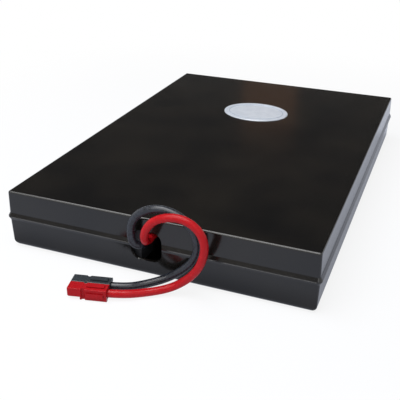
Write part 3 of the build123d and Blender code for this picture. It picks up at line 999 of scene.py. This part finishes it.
@dataclass
class Lead:
    """One free lead: a jacketed wire from the outlet, up in a loop and back to its connector.

    Attributes:
        pole: the side of the circuit that it is on.
        finish: what its jacket is.
        length_mm: its real length along the middle, which is not used.
        route_mm: points that shape it, each x, the distance ahead of the front wall, and z.
        diameter_mm: how thick it is.
        ring_steps: how finely its round section is cut.
        route_steps: how finely the route is cut between two points.
    """

    pole: Pole
    finish: Finish
    length_mm: float
    route_mm: tuple[tuple[float, float, float], ...]
    diameter_mm: float = 5.2
    ring_steps: int = 7
    route_steps: int = 12

    def build(self, front_y: float) -> bpy.types.Object:
        """Args:
            front_y: the front wall's place at the seam, in metres.

        Returns:
            the lead, a curve with a round section.
        """
        name = f"{self.pole.value}_lead"
        route = [Vector((x * MM, front_y - ahead * MM, z * MM)) for x, ahead, z in self.route_mm]
        curve = bpy.data.curves.new(f"{name}_jacket", "CURVE")
        curve.dimensions = "3D"
        curve.bevel_depth = self.diameter_mm / 2 * MM
        curve.bevel_resolution = self.ring_steps
        curve.resolution_u = self.route_steps
        curve.use_fill_caps = True
        spline = curve.splines.new("NURBS")
        spline.points.add(len(route) - 1)
        for point, place in zip(spline.points, route):
            point.co = (*place, 1.0)
        spline.order_u = 3
        spline.use_endpoint_u = True
        piece = add_object(f"{name}_jacket", curve)
        settle(piece, self.finish, f"{self.pole.value}_insulation", name)
        self.declare()
        return piece

    def declare(self) -> None:
        """Gathers the parts that hang on the lead, and does nothing more with them.
        """
        colour = self.pole.value
        carried = [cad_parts[f"{colour}_{part}"] for part in ("contact", "spring")]
        if self.pole is Pole.RED:
            carried.append(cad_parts["roll_pin"])
        carried.append(ConnectorPair.housing_of(self.pole))


@dataclass
class ConnectorPair:
    """Two single-pole connectors side by side: moulded housings, plated contacts, steel springs.

    Attributes:
        edge_mm: how wide the rounding of the housings' edges is.
    """

    edge_mm: float = 0.14

    @staticmethod
    def housing_of(pole: Pole) -> bpy.types.Object:
        """Gives the finished housing of one pole.

        Args:
            pole: the side of the circuit.

        Returns:
            the housing, which build has made.
        """
        return bpy.data.objects[f"{pole.value}_connector_housing"]

    def build(self) -> None:
        """Makes both housings with softened edges and dresses what is inside them."""
        for pole, finish in ((Pole.RED, RED_PC), (Pole.BLACK, BLACK_PC)):
            node = f"{pole.value}_housing"
            piece = softened_copy(node, f"{pole.value}_connector_housing", self.edge_mm)
            settle(piece, finish, f"{pole.value}_housing_plastic", node)
        dress_nodes([f"{pole.value}_contact" for pole in Pole], SILVER_PLATE)
        dress_nodes([f"{pole.value}_spring" for pole in Pole] + ["roll_pin"], SPRING_STEEL)


@dataclass
class Case:
    """The clamshell: cover and tray, both from polished tools in one batch of resin.

    Attributes:
        halves: the nodes of its two halves.
    """

    halves: tuple[str, str] = ("top_cover", "bottom_tray")

    def build(self) -> None:
        """Dresses the two halves, whose shapes are right as they are."""
        dress_nodes(list(self.halves), CASE_ABS)


@dataclass
class Badge:
    """The oval badge: a foil plate with a raised rim, and a fine ring drawn inside it.

    Attributes:
        ring_inset_mm: how far the ring lies inside the plate's edge.
        ring_drop_mm: how far the field, and with it the ring's middle, lies below the rim's top.
        line_mm: the radius of the ring's round section, half of which is sunk in the field.
        ring_steps: how many straight parts the oval has.
        line_steps: how many sides the ring's round section has.
    """

    ring_inset_mm: float = 4.4
    ring_drop_mm: float = 0.25
    line_mm: float = 0.32
    ring_steps: int = 96
    line_steps: int = 8

    def build(self) -> None:
        """Dresses the plate and adds its ring."""
        dress_nodes(["oval_badge"], BADGE_FOIL)
        settle(self.make_ring(), RING_FOIL, "badge_plastic")

    def make_ring(self) -> bpy.types.Object:
        """Runs a thin round line along an oval path on the badge's field.

        Returns:
            the ring, a plain mesh.
        """
        low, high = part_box("oval_badge")
        centre = (low + high) / 2
        half = (high - low) / 2
        ring = ShapeTree("badge_ring", RING_FOIL, {
            "Half Width": half.x - self.ring_inset_mm * MM,
            "Half Depth": half.y - self.ring_inset_mm * MM,
            "Line": self.line_mm * MM,
            "Height": high.z - self.ring_drop_mm * MM,
            "Ring Steps": self.ring_steps,
            "Line Steps": self.line_steps,
        })
        given = ring.given
        circle = ring.shape("CurvePrimitiveCircle", Resolution=given["Ring Steps"], Radius=1.0)
        oval_size = ring.vector(given["Half Width"], given["Half Depth"], 1.0)
        oval = ring.shape("Transform", Geometry=circle, Scale=oval_size)
        dot = ring.shape("CurvePrimitiveCircle", Resolution=given["Line Steps"], Radius=1.0)
        section_size = ring.vector(given["Line"], given["Line"], 1.0)
        section = ring.shape("Transform", Geometry=dot, Scale=section_size)
        band = ring.shape("CurveToMesh", Curve=oval, Profile_Curve=section)
        place = ring.vector(centre.x, centre.y, given["Height"])
        return ring.keep(ring.shape("Transform", Geometry=band, Translation=place))


@dataclass
class BatteryPack:
    """What the case holds: four batteries, their terminals and wires, and the packing foam.

    Attributes:
        rib_count: how many ribs each vent cover has.
        rib_pitch_mm: how far apart they are.
        rib_width_mm: how wide one is.
        rib_length_mm: how long one is.
        rib_height_mm: how thick one is.
        rib_lift: how far a rib's middle lies outside the battery's face, in rib thicknesses.
    """

    rib_count: int = 11
    rib_pitch_mm: float = 3.6
    rib_width_mm: float = 1.2
    rib_length_mm: float = 15.0
    rib_height_mm: float = 0.6
    rib_lift: float = 0.4

    def build(self) -> None:
        """Dresses every inner node and adds the ribs of the vent covers."""
        corners = [(side, end) for side in SIDES for end in ENDS]
        terminals = [f"{side}_{end}_{place}" for side, end in corners for place in PLACES]
        dress_nodes([f"battery_{side}_{end}" for side, end in corners], BATTERY_ABS)
        dress_nodes([f"tab_{terminal}" for terminal in terminals], TIN_PLATE)
        dress_nodes([f"receptacle_{terminal}" for terminal in terminals], SLEEVE_NYLON)
        dress_nodes([f"end_pad_{side}_{end}" for side, end in corners], PACKING_FOAM)
        dress_nodes([f"foam_strip_{side}_{place}" for side in SIDES for place in PLACES], PACKING_FOAM)
        dress_nodes(["red_inner_lead"], RED_PVC)
        dress_nodes(["black_inner_lead", "right_jumper", "left_jumper", "rear_jumper"], BLACK_PVC)
        settle(self.make_vent_ribs(), VENT_ABS, "battery_abs")

    def make_vent_ribs(self) -> bpy.types.Object:
        """Repeats the ribs along the vent cover of each battery.

        Returns:
            all the ribs as one plain mesh.
        """
        low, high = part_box("battery_right_rear")
        ribs = ShapeTree("vent_ribs", VENT_ABS, {
            "Rib Count": self.rib_count,
            "Pitch": self.rib_pitch_mm * MM,
            "Rib Width": self.rib_width_mm * MM,
            "Rib Length": self.rib_length_mm * MM,
            "Rib Height": self.rib_height_mm * MM,
            "Rib Lift": self.rib_lift,
            "Face": low.x,
            "Along": (low.y + high.y) / 2,
            "Level": (low.z + high.z) / 2,
        })
        tree, given = ribs.tree, ribs.given
        # One row of ribs, centred on the origin
        row = ribs.shape("MeshLine", Count=given["Rib Count"], Offset=ribs.vector(y=given["Pitch"]))
        size = ribs.vector(given["Rib Height"], given["Rib Width"], given["Rib Length"])
        rib = ribs.shape("MeshCube", Size=size)
        strip = ribs.shape("InstanceOnPoints", Points=row, Instance=rib)
        gaps = add_maths(tree, "SUBTRACT", given["Rib Count"], 1.0)
        span = add_maths(tree, "MULTIPLY", gaps, given["Pitch"])
        back = ribs.vector(y=add_maths(tree, "MULTIPLY", span, -0.5))
        centred = ribs.shape("Transform", Geometry=strip, Translation=back)
        # The four corners of a grid are the middles of the four vent covers
        lift = add_maths(tree, "MULTIPLY", given["Rib Height"], given["Rib Lift"])
        proud = add_maths(tree, "SUBTRACT", given["Face"], lift)
        wide = add_maths(tree, "MULTIPLY", proud, 2.0)
        long = add_maths(tree, "MULTIPLY", given["Along"], 2.0)
        grid = ribs.shape("MeshGrid", Size_X=wide, Size_Y=long, Vertices_X=2, Vertices_Y=2)
        seats = ribs.shape("Transform", Geometry=grid, Translation=ribs.vector(z=given["Level"]))
        return ribs.keep(ribs.shape("InstanceOnPoints", Points=seats, Instance=centred))


RED_LEAD = Lead(Pole.RED, RED_PVC, 161.2, (
    (-1.2, -4.5, 28.7), (-1.2, 2.0, 28.7), (-0.7, 7.5, 30.5), (0.2, 11.2, 35.6), (1.5, 11.5, 41.6),
    (6.6, 11.5, 48.4), (15.3, 11.5, 52.8), (25.7, 11.5, 53.9), (35.2, 11.5, 49.4), (40.0, 11.5, 40.7),
    (39.1, 11.5, 30.2), (35.2, 11.0, 20.5), (28.0, 10.5, 11.5), (18.3, 12.8, 4.6), (6.5, 19.6, 2.7),
    (-7.231, 29.91, 3.95), (-20.894, 32.964, 3.95),
))
BLACK_LEAD = Lead(Pole.BLACK, BLACK_PVC, 162.6, (
    (-6.3, -4.5, 23.0), (-6.3, 1.5, 23.0), (-10.2, 5.4, 25.6), (-12.0, 5.3, 32.0), (-11.5, 5.3, 39.6),
    (-7.5, 5.3, 46.6), (-0.6, 5.3, 51.6), (8.3, 5.3, 54.1), (18.0, 5.3, 53.0), (26.5, 5.3, 48.0),
    (31.7, 5.3, 40.5), (33.2, 5.3, 31.4), (30.2, 5.1, 22.6), (22.9, 4.9, 13.9), (12.2, 5.7, 5.7),
    (0.5, 12.6, 2.7), (-8.954, 22.2, 3.95), (-22.617, 25.254, 3.95),
))


def main() -> None:
    """Builds the cartridge's looks round the frame, in order."""
    logging.basicConfig(level=logging.INFO, format="%(message)s")
    front_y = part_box("bottom_tray")[0].y + RIDGE_PROUD_MM * MM
    Viewpoint().build()
    ConnectorPair().build()
    for lead in (RED_LEAD, BLACK_LEAD):
        lead.build(front_y)
    Case().build()
    Badge().build()
    BatteryPack().build()
    Studio().build()


if __name__ == "__main__":
    main()
